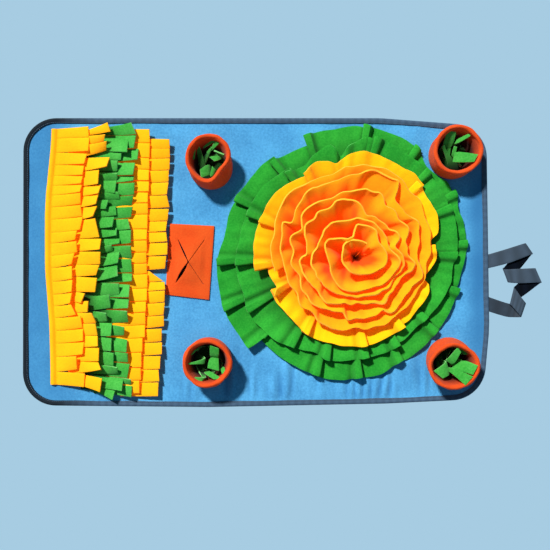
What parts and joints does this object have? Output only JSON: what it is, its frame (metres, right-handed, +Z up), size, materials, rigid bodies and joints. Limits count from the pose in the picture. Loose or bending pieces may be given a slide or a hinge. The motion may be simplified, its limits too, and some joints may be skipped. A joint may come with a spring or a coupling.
{
  "type": "snuffle mat",
  "caption": "Bound fleece mat with rows of cut fringe, leafy treat cups, a slit pocket and a large ruffled flower that hide dry treats, with a folded tie ribbon at one end.",
  "frame": {"origin": "middle of the mat's underside, on the surface it lies on", "axes": "+X along the mat's length from the fringe to the tie, +Y across it to the upper edge of the picture, +Z up"},
  "size_m": [0.8909, 0.498, 0.0595],
  "materials": {
    "fleece_blue": "matt brushed fleece",
    "fleece_yellow": "matt brushed fleece",
    "fleece_green": "matt brushed fleece",
    "fleece_orange": "matt brushed fleece",
    "felt_orange": "matt brushed fleece",
    "tape_grey": "woven tape",
    "ribbon_grey": "woven ribbed ribbon"
  },
  "bodies": {
    "root": {"mat_panel": "fleece_blue", "edge_tape": "tape_grey", "fringe_row_1": "fleece_yellow", "fringe_row_2": "fleece_yellow", "fringe_row_3": "fleece_green", "fringe_row_4": "fleece_green", "fringe_row_5": "fleece_yellow", "fringe_row_6": "fleece_yellow", "cup_top_left": "felt_orange", "cup_bottom_left": "felt_orange", "cup_top_right": "felt_orange", "cup_bottom_right": "felt_orange", "leaves_top_left": "fleece_green", "leaves_bottom_left": "fleece_green", "leaves_top_right": "fleece_green", "leaves_bottom_right": "fleece_green", "slit_pocket": "fleece_orange", "leaf_tier_lower": "fleece_green", "leaf_tier_upper": "fleece_green", "petal_tier": "fleece_yellow", "rose_spiral": "fleece_yellow", "tie_ribbon": "ribbon_grey"}
  },
  "joints": []
}
